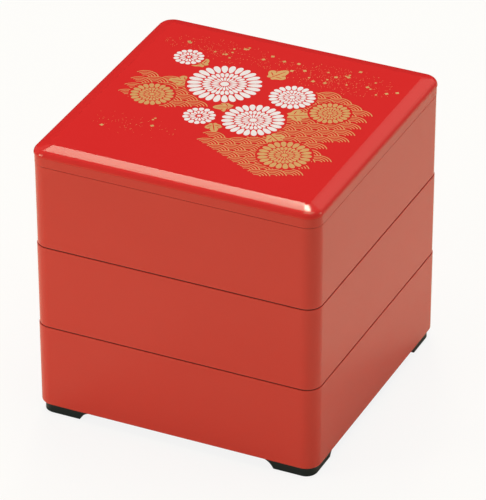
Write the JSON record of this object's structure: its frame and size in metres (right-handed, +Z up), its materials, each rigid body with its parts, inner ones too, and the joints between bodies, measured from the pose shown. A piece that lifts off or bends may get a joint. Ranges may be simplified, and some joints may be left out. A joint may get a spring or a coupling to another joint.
{
  "type": "stacking box",
  "caption": "Square stacking food box of nesting tiers with a rolled-edge lid and black corner feet; each tier lifts straight off the rim below.",
  "frame": {"origin": "on the surface that the box stands on, under the middle of the box", "axes": "+Z up through the stack; the front faces -Y and the right side +X"},
  "size_m": [0.1958, 0.1958, 0.1937],
  "materials": {
    "lacquer": "vermilion semi-gloss lacquer over moulded resin, black inside",
    "feet": "satin black moulded resin"
  },
  "bodies": {
    "base": {"lower_tier": "lacquer", "foot_front_left": "feet", "foot_front_right": "feet", "foot_back_right": "feet", "foot_back_left": "feet"},
    "middle": {"middle_tier": "lacquer"},
    "upper": {"upper_tier": "lacquer"},
    "cover": {"lid": "lacquer"}
  },
  "joints": [
    {"name": "middle_tier_lift", "type": "slide", "parent": "base", "child": "middle", "axis": [0, 0, 1], "range_m": [0, 0.08]},
    {"name": "upper_tier_lift", "type": "slide", "parent": "middle", "child": "upper", "axis": [0, 0, 1], "range_m": [0, 0.08]},
    {"name": "lid_lift", "type": "slide", "parent": "upper", "child": "cover", "axis": [0, 0, 1], "range_m": [0, 0.08]}
  ]
}
